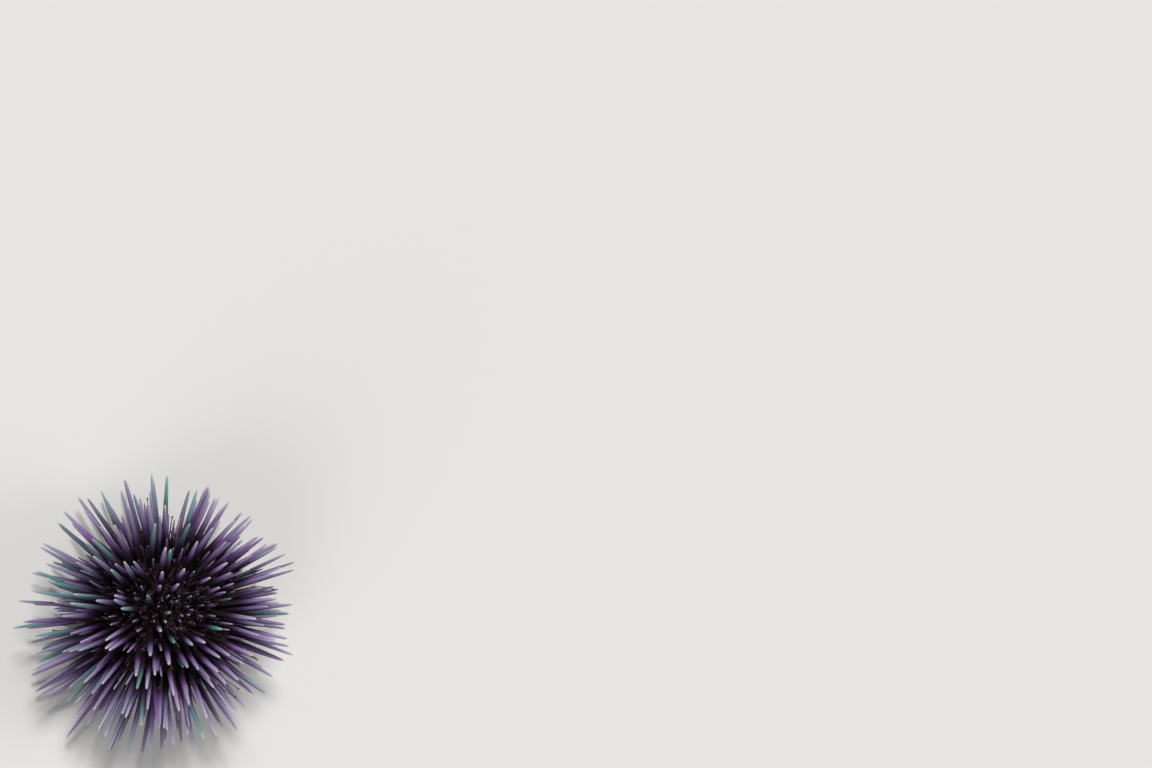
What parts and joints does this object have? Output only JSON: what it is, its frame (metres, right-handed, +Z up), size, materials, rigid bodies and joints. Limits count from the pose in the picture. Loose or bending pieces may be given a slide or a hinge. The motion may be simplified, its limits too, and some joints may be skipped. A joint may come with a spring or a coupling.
{
  "type": "purple sea urchin",
  "caption": "Life-size sea urchin: a round flattened test in ten radial bands, covered all over with tapering spines, standing on its lower spines.",
  "frame": {"origin": "middle of the animal's outer box at the floor that its lower spines stand on", "axes": "+Z up through the apical disc, which faces the picture's viewer, +X to the right of the picture and +Y to its top"},
  "size_m": [0.099, 0.1016, 0.0496],
  "materials": {
    "ambulacral_spines": "satin, fine lengthwise ribs, purple paling to grey-green tips",
    "interambulacral_spines": "satin, fine lengthwise ribs, purple paling to grey-green tips",
    "apical_plates": "matt dark purple skin over small plates",
    "mouth_membrane": "moist, dull purple-red skin",
    "teeth": "smooth ivory"
  },
  "bodies": {
    "root": {"ambulacrum_1": "ambulacral_spines", "ambulacrum_2": "ambulacral_spines", "ambulacrum_3": "ambulacral_spines", "ambulacrum_4": "ambulacral_spines", "ambulacrum_5": "ambulacral_spines", "interambulacrum_1": "interambulacral_spines", "interambulacrum_2": "interambulacral_spines", "interambulacrum_3": "interambulacral_spines", "interambulacrum_4": "interambulacral_spines", "interambulacrum_5": "interambulacral_spines", "apical_disc": "apical_plates", "mouth_membrane": "mouth_membrane", "tooth_1": "teeth", "tooth_2": "teeth", "tooth_3": "teeth", "tooth_4": "teeth", "tooth_5": "teeth"}
  },
  "joints": []
}
